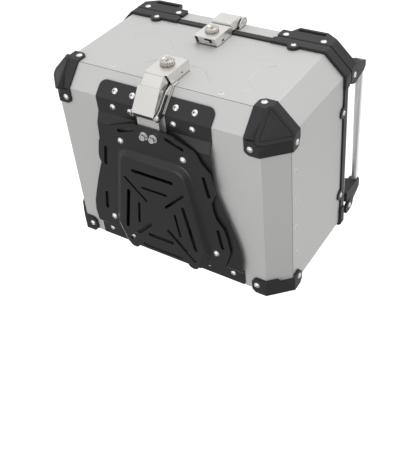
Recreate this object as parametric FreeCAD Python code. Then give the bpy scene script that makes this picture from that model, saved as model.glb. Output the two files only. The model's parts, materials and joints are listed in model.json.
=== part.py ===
"""Aluminium motorcycle top case with a hinged lid, two key latches and a bolt-on rack plate.

Frame: +Z up through the lid, +X to the rider's right, +Y forward, towards the rider.
The origin is on the underside of the rack plate, in the middle of the case. Millimetres.
"""
import FreeCAD, Part
import math
import os

V = FreeCAD.Vector

# ---------------------------------------------------------------- driving dimensions
HALF_W = 215.0            # half the case's width
HALF_D = 163.0            # half the case's front-to-rear depth
SHEET = 1.5               # aluminium sheet
CORNER = 33.0             # leg of the 45 degree chamfer on the two rear uprights
BASE_Z = 22.0             # underside of the case, above the rack plate's face
BEVEL = 31.5              # width of the bevel round the bottom, at the rear and the sides
BASE_CUT = 18.0           # leg of the bottom face's own corner chamfer
SEAM_Z = 53.0             # top of that bevel, where the wall sheet starts
SPLIT_Z = 240.5           # where the lid parts from the body
LID_TOP_Z = 290.0
LID_SIDE_Z = 250.0        # top of the lid's upright side wall
LID_REAR_Z = 270.0        # top of the lid's upright rear and front walls
PLASTIC = 5.0             # how far the plastic corner pieces stand off the sheet
GUARD_PROUD = 3.0         # the same for the two rear bottom guards
BAND_PROUD = 3.0
BAND_Z = (229.0, 240.0)
TRIM_Z = (228.0, 246.0)   # black corner pieces round the body's mouth
GUARD_Z = 248.0           # lower edge of the lid's corner guards
RAIL_R = 6.0
RAIL_X = 213.0
RAIL_Z = 296.5
RAIL_Y = (-123.0, 121.0)
HEAD_R = 5.0              # pan heads of screws and blind rivets
HEAD_H = 2.4
HOLE_SHARE = 0.32         # a head's centre hole, as a share of its radius

PLATE_T = 2.5             # both mounting plates
ADAPTER_Z = 12.5          # outer face of the adapter plate's raised field
RACK_Z = 8.0              # outer face of the rack plate's flange; its bulge ends at Z = 0

REAR_Y = -HALF_D
BAND_Y = REAR_Y - BAND_PROUD
CREASE_Y = REAR_Y + BEVEL
BEVEL_UP = SEAM_Z - BASE_Z
SLOPE = math.hypot(BEVEL, BEVEL_UP)
BEVEL_NORMAL = (BEVEL_UP / SLOPE, BEVEL / SLOPE)   # horizontal and downward parts

# latches: Y and Z in the plane X = 0
LEVER_PIN = (-133.0, 5.2)
LEVER_TOP = (-185.8, 43.8)
LEVER_CREASE = (-171.2, 24.6)
LEVER_FOOT = (-137.0, 0.4)
BASE_LOCK_Z = 75.0
BASE_BOX_Z = (45.0, 102.0)
BASE_BOX_Y = -183.0
LID_LOCK_Z = 200.0
LID_BOX_Z = (176.0, 227.0)
LID_BOX_Y = -179.0
HASP_PIN = (-171.0, 263.5)
LATCH_HALF = 20.0         # half width of both lock housings
WEB_HALF = 25.0           # half width of the base latch's bracket on the bevel
STEEL = 1.5
BOLT_TRAVEL = 5.6         # how far a lock bolt slides in a quarter turn
CAM_R = BOLT_TRAVEL / math.sqrt(2)
HINGE_AXIS = (171.0, 243.5)
HINGE_X = (-110.0, 110.0)
HINGE_HALF = 27.0


# ---------------------------------------------------------------- helpers
def box(x0, x1, y0, y1, z0, z1):
    """A box between two corners."""
    return Part.makeBox(x1 - x0, y1 - y0, z1 - z0, V(x0, y0, z0))


def to_3d(plane, a, b, c):
    """A point from its two coordinates in a plane and its height above it."""
    if plane == "XY":
        return V(a, b, c)
    if plane == "YZ":
        return V(c, a, b)
    return V(a, c, b)


def outline(points, plane="XY", level=0.0, radii=0.0):
    """A closed wire through points, each corner rounded by its radius."""
    count = len(points)
    if not isinstance(radii, (list, tuple)):
        radii = [radii] * count
    starts, ends, mids = [], [], []
    for i, (px, py) in enumerate(points):
        ax, ay = points[i - 1]
        bx, by = points[(i + 1) % count]
        la, lb = math.hypot(ax - px, ay - py), math.hypot(bx - px, by - py)
        ua, ub = ((ax - px) / la, (ay - py) / la), ((bx - px) / lb, (by - py) / lb)
        half = math.acos(max(-1.0, min(1.0, ua[0] * ub[0] + ua[1] * ub[1]))) / 2
        if radii[i] < 0.01 or half > math.pi / 2 - 0.01:
            starts.append((px, py))
            ends.append((px, py))
            mids.append(None)
            continue
        run = min(radii[i] / math.tan(half), 0.49 * min(la, lb))
        radius = run * math.tan(half)
        bis = (ua[0] + ub[0], ua[1] + ub[1])
        norm = math.hypot(*bis)
        reach = radius / math.sin(half) - radius
        starts.append((px + ua[0] * run, py + ua[1] * run))
        ends.append((px + ub[0] * run, py + ub[1] * run))
        mids.append((px + bis[0] / norm * reach, py + bis[1] / norm * reach))
    edges = []
    for i in range(count):
        if mids[i]:
            arc = [to_3d(plane, *p, level) for p in (starts[i], mids[i], ends[i])]
            edges.append(Part.Arc(*arc).toShape())
        a, b = ends[i], starts[(i + 1) % count]
        if math.hypot(a[0] - b[0], a[1] - b[1]) > 1e-6:
            edges.append(Part.makeLine(to_3d(plane, *a, level), to_3d(plane, *b, level)))
    return Part.Wire(edges)


def prism(points, plane, low, high, radii=0.0):
    """An outline extruded from one level to another along its plane's normal."""
    face = Part.Face(outline(points, plane, low, radii))
    return face.extrude(to_3d(plane, 0, 0, high - low))


def rod(x, y, z, radius, length, axis="Z"):
    """A cylinder from a point along an axis, which may carry a minus sign."""
    way = {"X": V(1, 0, 0), "Y": V(0, 1, 0), "Z": V(0, 0, 1)}[axis[-1]]
    if axis[0] == "-":
        way = way.multiply(-1)
    return Part.makeCylinder(radius, length, V(x, y, z), way)


def fuse(shapes):
    """One solid from overlapping solids."""
    whole = shapes[0]
    if len(shapes) > 1:
        whole = whole.fuse(shapes[1:])
    return whole.removeSplitter()


def mirrored(shape):
    """The same piece on the other side of the case."""
    return shape.mirror(V(0, 0, 0), V(1, 0, 0))


def both_sides(shape):
    """A group of a piece and its mirror image."""
    return Part.makeCompound([shape, mirrored(shape)])


def slot_cut(x0, y0, x1, y1, width, z0, z1):
    """A stadium-shaped cutter between two points."""
    length = math.hypot(x1 - x0, y1 - y0)
    nx, ny = -(y1 - y0) / length * width / 2, (x1 - x0) / length * width / 2
    bar = [(x0 + nx, y0 + ny), (x0 - nx, y0 - ny), (x1 - nx, y1 - ny), (x1 + nx, y1 + ny)]
    ends = [rod(x, y, z0, width / 2, z1 - z0) for x, y in ((x0, y0), (x1, y1))]
    return fuse([prism(bar, "XY", z0, z1)] + ends)


def bent_sheet(path, thickness, x0, x1):
    """A sheet folded along a path of (y, z) points, with the sheet on the path's left."""
    def offset(i):
        turns = []
        for a, b in ((i - 1, i), (i, i + 1)):
            if 0 <= a and b < len(path):
                dy, dz = path[b][0] - path[a][0], path[b][1] - path[a][1]
                norm = math.hypot(dy, dz)
                turns.append((-dz / norm, dy / norm))
        ny = sum(t[0] for t in turns) / len(turns)
        nz = sum(t[1] for t in turns) / len(turns)
        scale = thickness / (ny * ny + nz * nz)
        return (path[i][0] + ny * scale, path[i][1] + nz * scale)
    far = [offset(i) for i in range(len(path))]
    return prism(list(path) + far[::-1], "YZ", x0, x1)


def pan_head(point, way, radius=HEAD_R, height=HEAD_H, shank=6.0, shank_r=2.0):
    """A domed head with a blind hole down its middle, on a shank that goes through the sheet."""
    way = V(*way)
    way.normalize()
    point = V(*point)
    sphere_r = (radius ** 2 + height ** 2) / (2 * height)
    centre = point - way * (sphere_r - height)
    dome = Part.makeSphere(sphere_r, centre)
    disc = Part.makeCylinder(radius, height * 1.5, point, way)
    hole = Part.makeCylinder(radius * HOLE_SHARE, height, point + way * (height * 0.12), way)
    head = dome.common(disc).cut(hole)
    return head.fuse(Part.makeCylinder(shank_r, shank, point - way * shank, way)).removeSplitter()


def plan_points(inset):
    """The case's plan, moved in by inset: rear left, clockwise seen from above."""
    cut = CORNER - inset * (2 - math.sqrt(2))
    w, d = HALF_W - inset, HALF_D - inset
    return [(-w + cut, -d), (w - cut, -d), (w, -d + cut), (w, d), (-w, d), (-w, -d + cut)]


def plan_prism(inset, z0, z1, bend=4.0):
    """The case's plan extruded, with its bends rounded."""
    return prism(plan_points(inset), "XY", z0, z1, max(bend - inset, 1.0))


def beyond(point, normal, size=400.0):
    """A block that fills the far side of a plane."""
    way = V(*normal)
    way.normalize()
    return Part.makeCylinder(size, size, V(*point), way)


def facet_plane():
    """A point on the sloping facet under the rear upright's chamfer, and its outward normal."""
    high = V(HALF_W - CORNER / 2, REAR_Y + CORNER / 2, SEAM_Z)
    low = V(HALF_W - BEVEL - BASE_CUT / 2, CREASE_Y + BASE_CUT / 2, BASE_Z)
    normal = V(1, 1, 0).cross(high - low)
    if normal.z > 0:
        normal = normal.multiply(-1)
    return high, normal.normalize()


def tub(inset, floor):
    """The bevelled lower part of the case as a solid, from floor up to the seam."""
    at_seam, at_floor = inset * math.sqrt(2), inset * (math.sqrt(2) - 1)
    side, side_low = HALF_W - at_seam, HALF_W - BEVEL - at_floor
    rear, rear_low, front = REAR_Y + at_seam, CREASE_Y + at_floor, HALF_D - inset
    across = [(-side_low, floor), (side_low, floor), (side, SEAM_Z), (-side, SEAM_Z)]
    along = [(rear_low, floor), (front, floor), (front, SEAM_Z), (rear, SEAM_Z)]
    whole = prism(across, "XZ", REAR_Y, HALF_D).common(prism(along, "YZ", -HALF_W, HALF_W))
    high, normal = facet_plane()
    corner = beyond(high - normal * inset, normal)
    return whole.cut([corner, mirrored(corner)]).removeSplitter()


def case_solid():
    """The body's whole outer form, for cutting the pieces that wrap it."""
    return tub(0.0, BASE_Z).fuse(plan_prism(0.0, SEAM_Z, SPLIT_Z, 0.0)).removeSplitter()


def on_bevel(run, lift=0.0):
    """Y and Z of a point run mm up the rear bevel from its lower crease, lift mm off it."""
    y = CREASE_Y - run * BEVEL / SLOPE - lift * BEVEL_NORMAL[0]
    return (y, BASE_Z + run * BEVEL_UP / SLOPE - lift * BEVEL_NORMAL[1])


# ---------------------------------------------------------------- case body
SEAM_GAP = 1.0
FLANGE_UP = 17.0          # upright flange of the bottom pan inside the wall sheet
PAN_RIVET_Z = SEAM_Z + 12.0
PAN_RIVET_Y = [-62.0 + 53.0 * i for i in range(4)]
PAN_RIVET_X = (-98.0, 98.0)


STAMP_MID_Z = 130.0
STAMP_RISE = 0.7
STAMP = [(14, 15), (42, 18), (67, 48), (142, 48), (116, 18)]   # X, and Z above the stamp's middle


def stamp(back_y):
    """The bow-tie stamped into the rear wall to stiffen it, from the sheet's face outwards."""
    right = STAMP + [(x, -z) for x, z in STAMP[::-1]]
    points = right + [(-x, z) for x, z in right[::-1]]
    radii = [10, 14, 14, 5, 12] * 4

    def wire(share_x, share_z, level):
        spots = [(x * share_x, STAMP_MID_Z + z * share_z) for x, z in points]
        return outline(spots, "XZ", level, radii)

    return Part.makeLoft([wire(1.0, 1.0, back_y), wire(0.982, 0.94, back_y - STAMP_RISE)], True, True)


def wall_wrap():
    """The folded wall sheet, with a stamp in the rear wall."""
    outer = plan_prism(0.0, SEAM_Z + SEAM_GAP, BAND_Z[1] - 2.0)
    wall = outer.cut(plan_prism(SHEET, SEAM_Z, BAND_Z[1]))
    return wall.fuse(stamp(REAR_Y)).cut(stamp(REAR_Y + SHEET)).removeSplitter()


def bottom_pan():
    """The bottom with its bevels, and the flange that the walls are riveted to."""
    step, top = SEAM_Z - SHEET, SEAM_Z + FLANGE_UP
    solid = tub(0.0, BASE_Z).fuse(plan_prism(SHEET, step, top))
    bowl = tub(SHEET, BASE_Z + SHEET).common(box(-HALF_W, HALF_W, -HALF_D, HALF_D, BASE_Z, step))
    return solid.cut([bowl, plan_prism(2 * SHEET, step - 0.5, top + 1)]).removeSplitter()


def pan_rivets():
    """Countersunk rivets along the seam: a low dome and a shank through both sheets."""
    spots = [((s * HALF_W, y, PAN_RIVET_Z), (s, 0, 0)) for s in (-1, 1) for y in PAN_RIVET_Y]
    for x in PAN_RIVET_X:
        spots.append(((x, REAR_Y, PAN_RIVET_Z), (0, -1, 0)))
        spots.append(((x, HALF_D, PAN_RIVET_Z), (0, 1, 0)))
    return Part.makeCompound([pan_head(p, d, 4.2, 1.0, 2 * SHEET + 0.6, 2.2) for p, d in spots])


BAND_TAB_Y = (-67.5, 98.0)
TAB_Z = 227.5
TAB_R = 10.0
TRIM_TAB_X = 130.0


def mouth_band():
    """The black extrusion that caps the wall sheet round the mouth, with riveted tabs."""
    ring = plan_prism(-BAND_PROUD, *BAND_Z, 4.0).cut(plan_prism(7.0, BAND_Z[0] - 1, BAND_Z[1] + 1))
    seat = plan_prism(0.0, BAND_Z[0] - 1, BAND_Z[1] - 2.0).cut(
        plan_prism(SHEET, BAND_Z[0] - 1, BAND_Z[1] - 2.0))
    tabs = []
    for s in (-1, 1):
        for y in BAND_TAB_Y:
            tabs.append(rod(s * HALF_W, y, TAB_Z, TAB_R, BAND_PROUD, "X" if s > 0 else "-X"))
    return ring.fuse(tabs).cut(seat).removeSplitter()


def mouth_seal():
    """The rubber bead on top of the band that the lid closes on."""
    return plan_prism(3.0, BAND_Z[1], SPLIT_Z + 2.2, 4.0).cut(
        plan_prism(6.5, BAND_Z[1] - 1, SPLIT_Z + 3.0, 4.0))


def offset_shell(z0, z1, proud, region):
    """A shell on the walls, standing proud of them, kept inside a region."""
    shell = plan_prism(-proud, z0, z1, 2.0).cut(plan_prism(0.0, z0 - 1, z1 + 1, 0.0))
    return shell.common(region)


def rear_trim():
    """Right rear corner of the mouth: wraps the band, and a lip guides the lid."""
    reach_x, reach_y = 89.0, -109.0
    region = box(reach_x, 230, -180, reach_y, 200, 260)
    trim = offset_shell(*TRIM_Z, PLASTIC, region)
    tab = rod(TRIM_TAB_X, REAR_Y, TAB_Z + 1.0, TAB_R, PLASTIC, "-Y")
    trim = trim.fuse(tab.common(box(0, 200, -180, REAR_Y, 200, TRIM_Z[1])))
    slope = prism([(reach_x - 1, TRIM_Z[1] + 1), (reach_x + 9, TRIM_Z[1] + 1), (reach_x - 1, 240)],
                  "XZ", -190, -150)
    notch = prism([(reach_y + 1, TRIM_Z[1] + 1), (reach_y - 7, TRIM_Z[1] + 1), (reach_y + 1, 240)],
                  "YZ", 200, 230)
    band_room = plan_prism(-BAND_PROUD, *BAND_Z, 4.0)
    lid_room = plan_prism(-0.6, BAND_Z[1], TRIM_Z[1] + 1, 0.0)
    return trim.cut([slope, notch, band_room, lid_room]).removeSplitter()


def front_trim():
    """Right front corner of the mouth: a low clip over the band's corner."""
    region = box(186, 230, 129, 180, 200, BAND_Z[1])
    trim = offset_shell(TRIM_Z[0], BAND_Z[1], PLASTIC, region)
    return trim.cut(plan_prism(-BAND_PROUD, *BAND_Z, 4.0)).removeSplitter()


def band_rivets():
    """Blind rivets through the tabs of the band and of the rear corners."""
    side_x = HALF_W + BAND_PROUD
    spots = [((s * side_x, y, TAB_Z), (s, 0, 0)) for s in (-1, 1) for y in BAND_TAB_Y]
    spots += [((s * TRIM_TAB_X, REAR_Y - PLASTIC, TAB_Z + 1.0), (0, -1, 0)) for s in (-1, 1)]
    return Part.makeCompound([pan_head(p, d, 4.4, 2.2, 9.0) for p, d in spots])


# ---------------------------------------------------------------- bottom corner guards
GUARD_X = 158.0           # inner edge of the rear guards on the rear wall and the bottom
GUARD_FRONT_Y = -104.0
GUARD_TOP_Z = 75.7
REAR_GUARD_SCREWS = [((167.3, REAR_Y - GUARD_PROUD, 66.3), (0, -1, 0)),
                     ((HALF_W + GUARD_PROUD, -114.2, 65.0), (1, 0, 0)),
                     ((167.7, -114.8, BASE_Z - GUARD_PROUD), (0, 0, -1))]
FRONT_GUARD_SCREWS = [((169.0, 149.0, BASE_Z - PLASTIC), (0, 0, -1)),
                      ((HALF_W + PLASTIC, 147.0, 65.5), (1, 0, 0))]
SIDE_FLAT = 1.8           # the rear guard's thickness over the side bevel
PAD_WAY = (1.0, -1.0, -1.0)
PAD_MID = V(194.6, -143.3, 42.5)
PAD_SIDE = 50.0           # side of the fine triangular groove
PAD_EDGE = 6.2            # from that groove to the pad's edge
PAD_DEPTH = 24.0


def rear_guard():
    """Right rear bottom guard: a shell over the corner with a raised three-sided pad."""
    low, out = BASE_Z - GUARD_PROUD, HALF_W + GUARD_PROUD
    block = box(GUARD_X, out, REAR_Y - GUARD_PROUD, GUARD_FRONT_Y, low, GUARD_TOP_Z)
    from_rear = [(GUARD_X, 0), (GUARD_X, 70.0), (GUARD_X + 7, GUARD_TOP_Z), (260, GUARD_TOP_Z), (260, 0)]
    from_side = [(-200, 0), (-200, GUARD_TOP_Z), (-118.5, GUARD_TOP_Z), (GUARD_FRONT_Y, 70),
                 (GUARD_FRONT_Y, 0)]
    from_below = [(GUARD_X, -200), (GUARD_X, GUARD_FRONT_Y - 5), (GUARD_X + 7, GUARD_FRONT_Y),
                  (260, GUARD_FRONT_Y), (260, -200)]
    block = block.common(prism(from_rear, "XZ", -200, -50, [0, 5, 5, 0, 0]))
    block = block.common(prism(from_side, "YZ", 100, 260, [0, 0, 6, 6, 0]))
    block = block.common(prism(from_below, "XY", 0, 100, [0, 5, 5, 0, 0]))
    high, normal = facet_plane()
    bevel_y, bevel_z = on_bevel(0.0, GUARD_PROUD)
    side_z = BASE_Z - SIDE_FLAT * BEVEL_NORMAL[1]
    planes = [((0, bevel_y, bevel_z), (0, -BEVEL_NORMAL[0], -BEVEL_NORMAL[1])),
              ((HALF_W - BEVEL + SIDE_FLAT * BEVEL_NORMAL[0], 0, side_z),
               (BEVEL_NORMAL[0], 0, -BEVEL_NORMAL[1])),
              ((HALF_W - CORNER + GUARD_PROUD * 0.7071, REAR_Y - GUARD_PROUD * 0.7071, 0), (1, -1, 0)),
              (high + normal * GUARD_PROUD, normal)]
    block = block.cut([beyond(p, n) for p, n in planes])
    slot = box(GUARD_X + 4.0, 178.0, CREASE_Y - 0.4, CREASE_Y + 2.6, low - 4, BASE_Z - 0.5)
    pad, groove = rear_pad()
    guard = block.cut(slot).fuse(pad).cut([groove, case_solid()])
    return max(guard.Solids, key=lambda solid: solid.Volume).removeSplitter()


def rear_pad():
    """The raised pad over the corner's facet, and the cutter for the fine groove on it."""
    way = V(*PAD_WAY).normalize()
    across = V(1, 1, 0).normalize()
    up = way.cross(across)
    if up.z < 0:
        up = up * -1

    def triangle(edge, radius, lift):
        reach = (PAD_SIDE / (2 * math.sqrt(3)) + edge) * 2
        pts = [(reach * math.cos(math.radians(a)), reach * math.sin(math.radians(a)))
               for a in (30, 150, 270)]
        wire = outline(pts, "XY", lift, radius)
        place = FreeCAD.Matrix(across.x, up.x, way.x, PAD_MID.x, across.y, up.y, way.y, PAD_MID.y,
                               across.z, up.z, way.z, PAD_MID.z, 0, 0, 0, 1)
        return wire.transformGeometry(place)

    side = Part.makeLoft([triangle(PAD_EDGE + 1.6, 10.5, -PAD_DEPTH),
                          triangle(PAD_EDGE, 9.0, -0.9)], True, True)
    crown = Part.makeLoft([triangle(PAD_EDGE, 9.0, -0.9), triangle(PAD_EDGE - 0.9, 8.1, 0.0)],
                          True, True)
    outer = Part.Face(triangle(0.5, 2.6, -0.9)).extrude(way * 3)
    inner = Part.Face(triangle(-0.6, 1.6, -1.9)).extrude(way * 5)
    return side.fuse(crown), outer.cut(inner)


def front_guard():
    """Right front bottom guard: a strap round the bevel's end with two tabs."""
    y0, y1, lip = 137.0, HALF_D, 3.0
    block = box(GUARD_X + 2, HALF_W + PLASTIC, y0, y1 + lip, BASE_Z - PLASTIC, 75.0)
    bevel_z = BASE_Z - PLASTIC * BEVEL_NORMAL[1]
    side = ((HALF_W - BEVEL + PLASTIC * BEVEL_NORMAL[0], 0, bevel_z),
            (BEVEL_NORMAL[0], 0, -BEVEL_NORMAL[1]))
    trims = [beyond(*side),
             beyond((0, y0 + 6, 75.0), (0, -1, 1)), beyond((GUARD_X + 2, y0 + 6, 0), (-1, -1, 0)),
             beyond((0, y1 + lip, 69.0), (0, 1, 1)), beyond((GUARD_X + 8, y1 + lip, 0), (-1, 1, 0))]
    waist = prism([(y0 - 1, 33.0), (y0 + 6, 36.0), (y0 + 6, 52.0), (y0 - 1, 56.0)], "YZ", 184, 230)
    core = tub(0.0, BASE_Z).fuse(plan_prism(0.0, SEAM_Z, 90.0, 0.0))
    inner = tub(8.0, BASE_Z).fuse(plan_prism(10.0, SEAM_Z, 90.0, 0.0))
    inner.translate(V(0, 14.0, 0))
    return block.cut(trims).cut([waist, core, inner]).removeSplitter()


def guard_screws():
    """Pan-head screws of the four bottom guards."""
    right = [pan_head(p, d, shank=8.0) for p, d in REAR_GUARD_SCREWS + FRONT_GUARD_SCREWS]
    return Part.makeCompound(right + [mirrored(s) for s in right])


# ---------------------------------------------------------------- adapter plate and rack plate
ADAPTER_RIVET_X = (39.6, 72.6)
ADAPTER_END_X = (78.0, 124.3)
ADAPTER_END_Y = 144.3
NOTCH_HALF = 25.5
TONGUE_HALF = 20.0


def adapter_plate():
    """Plate riveted to the case: folded over the bevel, with a raised field behind it."""
    inner = [on_bevel(28.2), (CREASE_Y, BASE_Z), (-106.0, BASE_Z), (-89.0, 15.0),
             (127.0, 15.0), (136.0, BASE_Z), (161.0, BASE_Z)]
    sheet = bent_sheet(inner[::-1], PLATE_T, -160, 160)
    half = [(104, -170), (104, CREASE_Y), (103.5, -98), (109, -19), (126, 26), (137, 58),
            (145, 83), (148, 105), (145, 134), (145, 161)]
    shape = half + [(-x, y) for x, y in half[::-1]]
    bends = [0, 4, 10, 25, 25, 25, 25, 12, 8, 3]
    field = prism(shape, "XY", -20, 80, bends + bends[::-1])
    notch = prism([(-NOTCH_HALF, -170), (NOTCH_HALF, -170), (NOTCH_HALF, -74), (-NOTCH_HALF, -74)],
                  "XY", -20, 80, [0, 0, 6, 6])
    hooks = box(HOOK_X - 12, HOOK_X + 12, HOOK_Y - 7, HOOK_Y + 12, 5, 20)
    plate = sheet.common(field).cut([notch, hooks, mirrored(hooks)])
    for s in (-1, 1):
        plate = plate.cut(bevel_corner(s))
    return plate.removeSplitter()


def bevel_corner(side):
    """Cutter that rounds a top corner of the adapter plate."""
    radius, run = 12.0, 28.2
    centre_y, centre_z = on_bevel(run - radius, -4.0)
    way = V(0, -BEVEL_NORMAL[0], -BEVEL_NORMAL[1])
    keep = Part.makeCylinder(radius, 12, V(side * (104.0 - radius), centre_y, centre_z), way)
    a, b = side * (104.0 - radius), side * 106.0
    low, high = on_bevel(run - radius, -4.0), on_bevel(run + 3, -4.0)
    quad = Part.makePolygon([V(a, *low), V(b, *low), V(b, *high), V(a, *high), V(a, *low)])
    return Part.Face(quad).extrude(way * 12).cut(keep)


def adapter_rivets():
    """Blind rivets on the bevel, behind the crease and along the front edge."""
    heads = []
    for x in ADAPTER_RIVET_X:
        y, z = on_bevel(14.0, PLATE_T)
        heads.append(pan_head((x, y, z), (0, -BEVEL_NORMAL[0], -BEVEL_NORMAL[1]), shank=7.0))
        heads.append(pan_head((x, -120.5, BASE_Z - PLATE_T), (0, 0, -1), shank=7.0))
    for x in ADAPTER_END_X:
        heads.append(pan_head((x, ADAPTER_END_Y, BASE_Z - PLATE_T), (0, 0, -1), 4.6, 2.0, 7.0))
    return Part.makeCompound(heads + [mirrored(h) for h in heads])


RACK_EDGE = [(0, -109), (29, -109), (43, -105), (79.5, -91.5), (85, -85), (90.5, -73.5),
             (102.5, -60.5), (105, -55), (110.5, -30), (110.5, -19), (102.5, -2), (104.5, 15),
             (108.5, 28.5), (121, 45), (125.5, 62), (129.5, 89.5), (122.5, 110), (115.5, 128),
             (84, 134), (78, 140)]
RACK_BENDS = [0, 4, 4, 5, 5, 5, 5, 5, 8, 5, 5, 10, 10, 14, 10, 8, 8, 5, 5, 3]
RACK_END_Y = 140.0
BOSS_X = 60.0
HOOK_X, HOOK_Y = 98.0, 114.0
BULGE = [(58, -49), (83, 84), (87, 101), (72, 142)]
BULGE_SIDE = [(8.6, 8.0), (7.2, 7.6), (5.9, 6.6), (2.1, 2.2), (0.8, 0.9), (-0.9, 0.25), (-2.6, 0.0)]
SLOT_W = 6.6              # clears an M6 bolt
SLOT_THIN = 4.6
RACK_SCREWS = [(58.3, -69.2), (102.5, 100.5)]
TONGUE_BOLT = (8.5, -93.5)
CROSS_SLOTS = [(-36.5, -23.6, 36.5, -23.6, SLOT_W), (-22.5, 5.5, 22.5, 5.5, SLOT_THIN),
               (-22.5, 104.7, 22.5, 104.7, SLOT_W), (-36.5, 131.1, 36.5, 131.1, SLOT_W)]
SIDE_SLOTS = [(55.5, -5, 19, 31, SLOT_THIN), (52.6, 21.5, 68.4, 101.5, SLOT_W),
              (35, 41.5, 41, 83, SLOT_THIN), (18.5, 81, 64, 127.5, SLOT_W),
              (31, -98, 58.5, -88.2, SLOT_W), (92.3, -46, 98.7, -14, SLOT_W),
              (109.8, 51.5, 115, 84, SLOT_W)]


def bulge_wire(level, grow):
    """The bulge's outline at a level, grown sideways and to the rear."""
    half = [(x + grow, y) for x, y in BULGE]
    half[0] = (half[0][0], half[0][1] - grow)
    pts = half + [(-x, y) for x, y in half[::-1]]
    radius = 17.0 + grow
    radii = [radius, 20, 12, 0, 0, 12, 20, radius]
    return outline(pts, "XY", level, radii)


def inner_side():
    """The bulge's side moved inwards by the plate's thickness."""
    moved = []
    for i, (grow, level) in enumerate(BULGE_SIDE):
        before, after = BULGE_SIDE[max(i - 1, 0)], BULGE_SIDE[min(i + 1, len(BULGE_SIDE) - 1)]
        run, fall = before[0] - after[0], before[1] - after[1]
        if i in (0, len(BULGE_SIDE) - 1):
            fall = 0.0
        size = math.hypot(run, fall)
        moved.append((grow - PLATE_T * fall / size, level + PLATE_T * run / size))
    return moved


def rack_plate():
    """Stamped plate that bolts to the motorcycle's rack: flange, bulge and slots."""
    edge = RACK_EDGE + [(-x, y) for x, y in RACK_EDGE[:0:-1]]
    flange = prism(edge, "XY", RACK_Z, RACK_Z + PLATE_T, RACK_BENDS + RACK_BENDS[:0:-1])
    outer = Part.makeLoft([bulge_wire(level, grow) for grow, level in BULGE_SIDE], True, True)
    inner = Part.makeLoft([bulge_wire(level, grow) for grow, level in inner_side()], True, True)
    widest = BULGE_SIDE[0][0]
    top = Part.Face(bulge_wire(RACK_Z, widest)).extrude(V(0, 0, PLATE_T))
    well = Part.Face(bulge_wire(RACK_Z + PLATE_T, widest)).extrude(V(0, 0, 1))
    front = box(-150, 150, RACK_END_Y, 200, -5, 30)
    bosses = [rod(s * BOSS_X, RACK_END_Y - 4, 0, 11.0, PLATE_T) for s in (-1, 1)]
    plate = flange.fuse([top, outer]).cut([inner.fuse(well), front]).fuse(bosses)
    cuts = [slot_cut(*slot, -1, 12) for slot in CROSS_SLOTS]
    for slot in SIDE_SLOTS:
        cut = slot_cut(*slot, -1, 12)
        cuts += [cut, mirrored(cut)]
    for x, y in RACK_SCREWS + [TONGUE_BOLT]:
        cuts += [rod(s * x, y, -1, 3.2, 14) for s in (-1, 1)]
    return plate.cut(cuts).removeSplitter()


def plate_pads():
    """Rubber pads between the two plates, one round each rack-plate screw."""
    pads = []
    for x, y in RACK_SCREWS:
        pads.append(rod(x, y, RACK_Z + PLATE_T, 11.0, ADAPTER_Z - RACK_Z - PLATE_T).cut(
            rod(x, y, 0, 3.0, 30)))
    return Part.makeCompound(pads + [mirrored(p) for p in pads])


def rack_screws():
    """Screws that hold the pads to the rack plate."""
    screws = [pan_head((x, y, RACK_Z), (0, 0, -1), 5.4, 3.2, 4.2, 3.0) for x, y in RACK_SCREWS]
    return Part.makeCompound(screws + [mirrored(s) for s in screws])


def catch_hooks():
    """Two hooks riveted inside the rack plate that reach over the adapter plate's slots."""
    low, top = RACK_Z + PLATE_T, ADAPTER_Z + PLATE_T + 0.6
    path = [(HOOK_Y + 10.0, low), (HOOK_Y, low), (HOOK_Y, top), (HOOK_Y - 16.0, top)]
    hook = bent_sheet(path, -1.8, HOOK_X - 10.0, HOOK_X + 10.0)
    return both_sides(hook)


def hook_tongue():
    """Steel tongue bolted inside the rack plate; its end hooks over the latch's pin."""
    low = RACK_Z + PLATE_T
    path = [(-140.6, 6.6), (-139.4, 9.0), (-136.6, low + STEEL), (-84.0, low + STEEL)]
    reach = bent_sheet(path[::-1], STEEL, -15.5, 15.5)
    leaf = box(-TONGUE_HALF, TONGUE_HALF, -122.5, -84.0, low, low + STEEL)
    holes = [rod(s * TONGUE_BOLT[0], TONGUE_BOLT[1], 0, 3.2, 30) for s in (-1, 1)]
    return reach.fuse(leaf).cut(holes).removeSplitter()


def hexagon(x, y, across, z0, z1):
    """A hexagonal prism on a vertical axis."""
    reach = across / math.sqrt(3)
    pts = [(x + reach * math.cos(math.pi / 3 * i), y + reach * math.sin(math.pi / 3 * i))
           for i in range(6)]
    return prism(pts, "XY", z0, z1)


def tongue_bolts():
    """Two M6 hex bolts through the rack plate and the tongue."""
    bolts = []
    for s in (-1, 1):
        x, y = s * TONGUE_BOLT[0], TONGUE_BOLT[1]
        low, high = RACK_Z - 7.2, RACK_Z - 1.6
        head = hexagon(x, y, 9.6, low, high).common(rod(x, y, low, 5.1, high - low))
        head = head.cut(rod(x, y, low, 2.7, 1.2))
        bolts.append(head.fuse(rod(x, y, high - 0.4, 3.0, 12.0)).removeSplitter())
    return Part.makeCompound(bolts)


def tongue_washers():
    """Plain washers under the tongue bolts' heads."""
    return Part.makeCompound([
        rod(s * TONGUE_BOLT[0], TONGUE_BOLT[1], RACK_Z - 1.6, 7.0, 1.6).cut(
            rod(s * TONGUE_BOLT[0], TONGUE_BOLT[1], 0, 3.2, 20)) for s in (-1, 1)])


def tongue_nuts():
    """Nuts of the tongue bolts, between the plates."""
    low = RACK_Z + PLATE_T + STEEL
    nuts = []
    for s in (-1, 1):
        x, y = s * TONGUE_BOLT[0], TONGUE_BOLT[1]
        nuts.append(hexagon(x, y, 10.0, low, low + 5.0).cut(rod(x, y, low - 1, 3.0, 8)))
    return Part.makeCompound(nuts)


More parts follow.
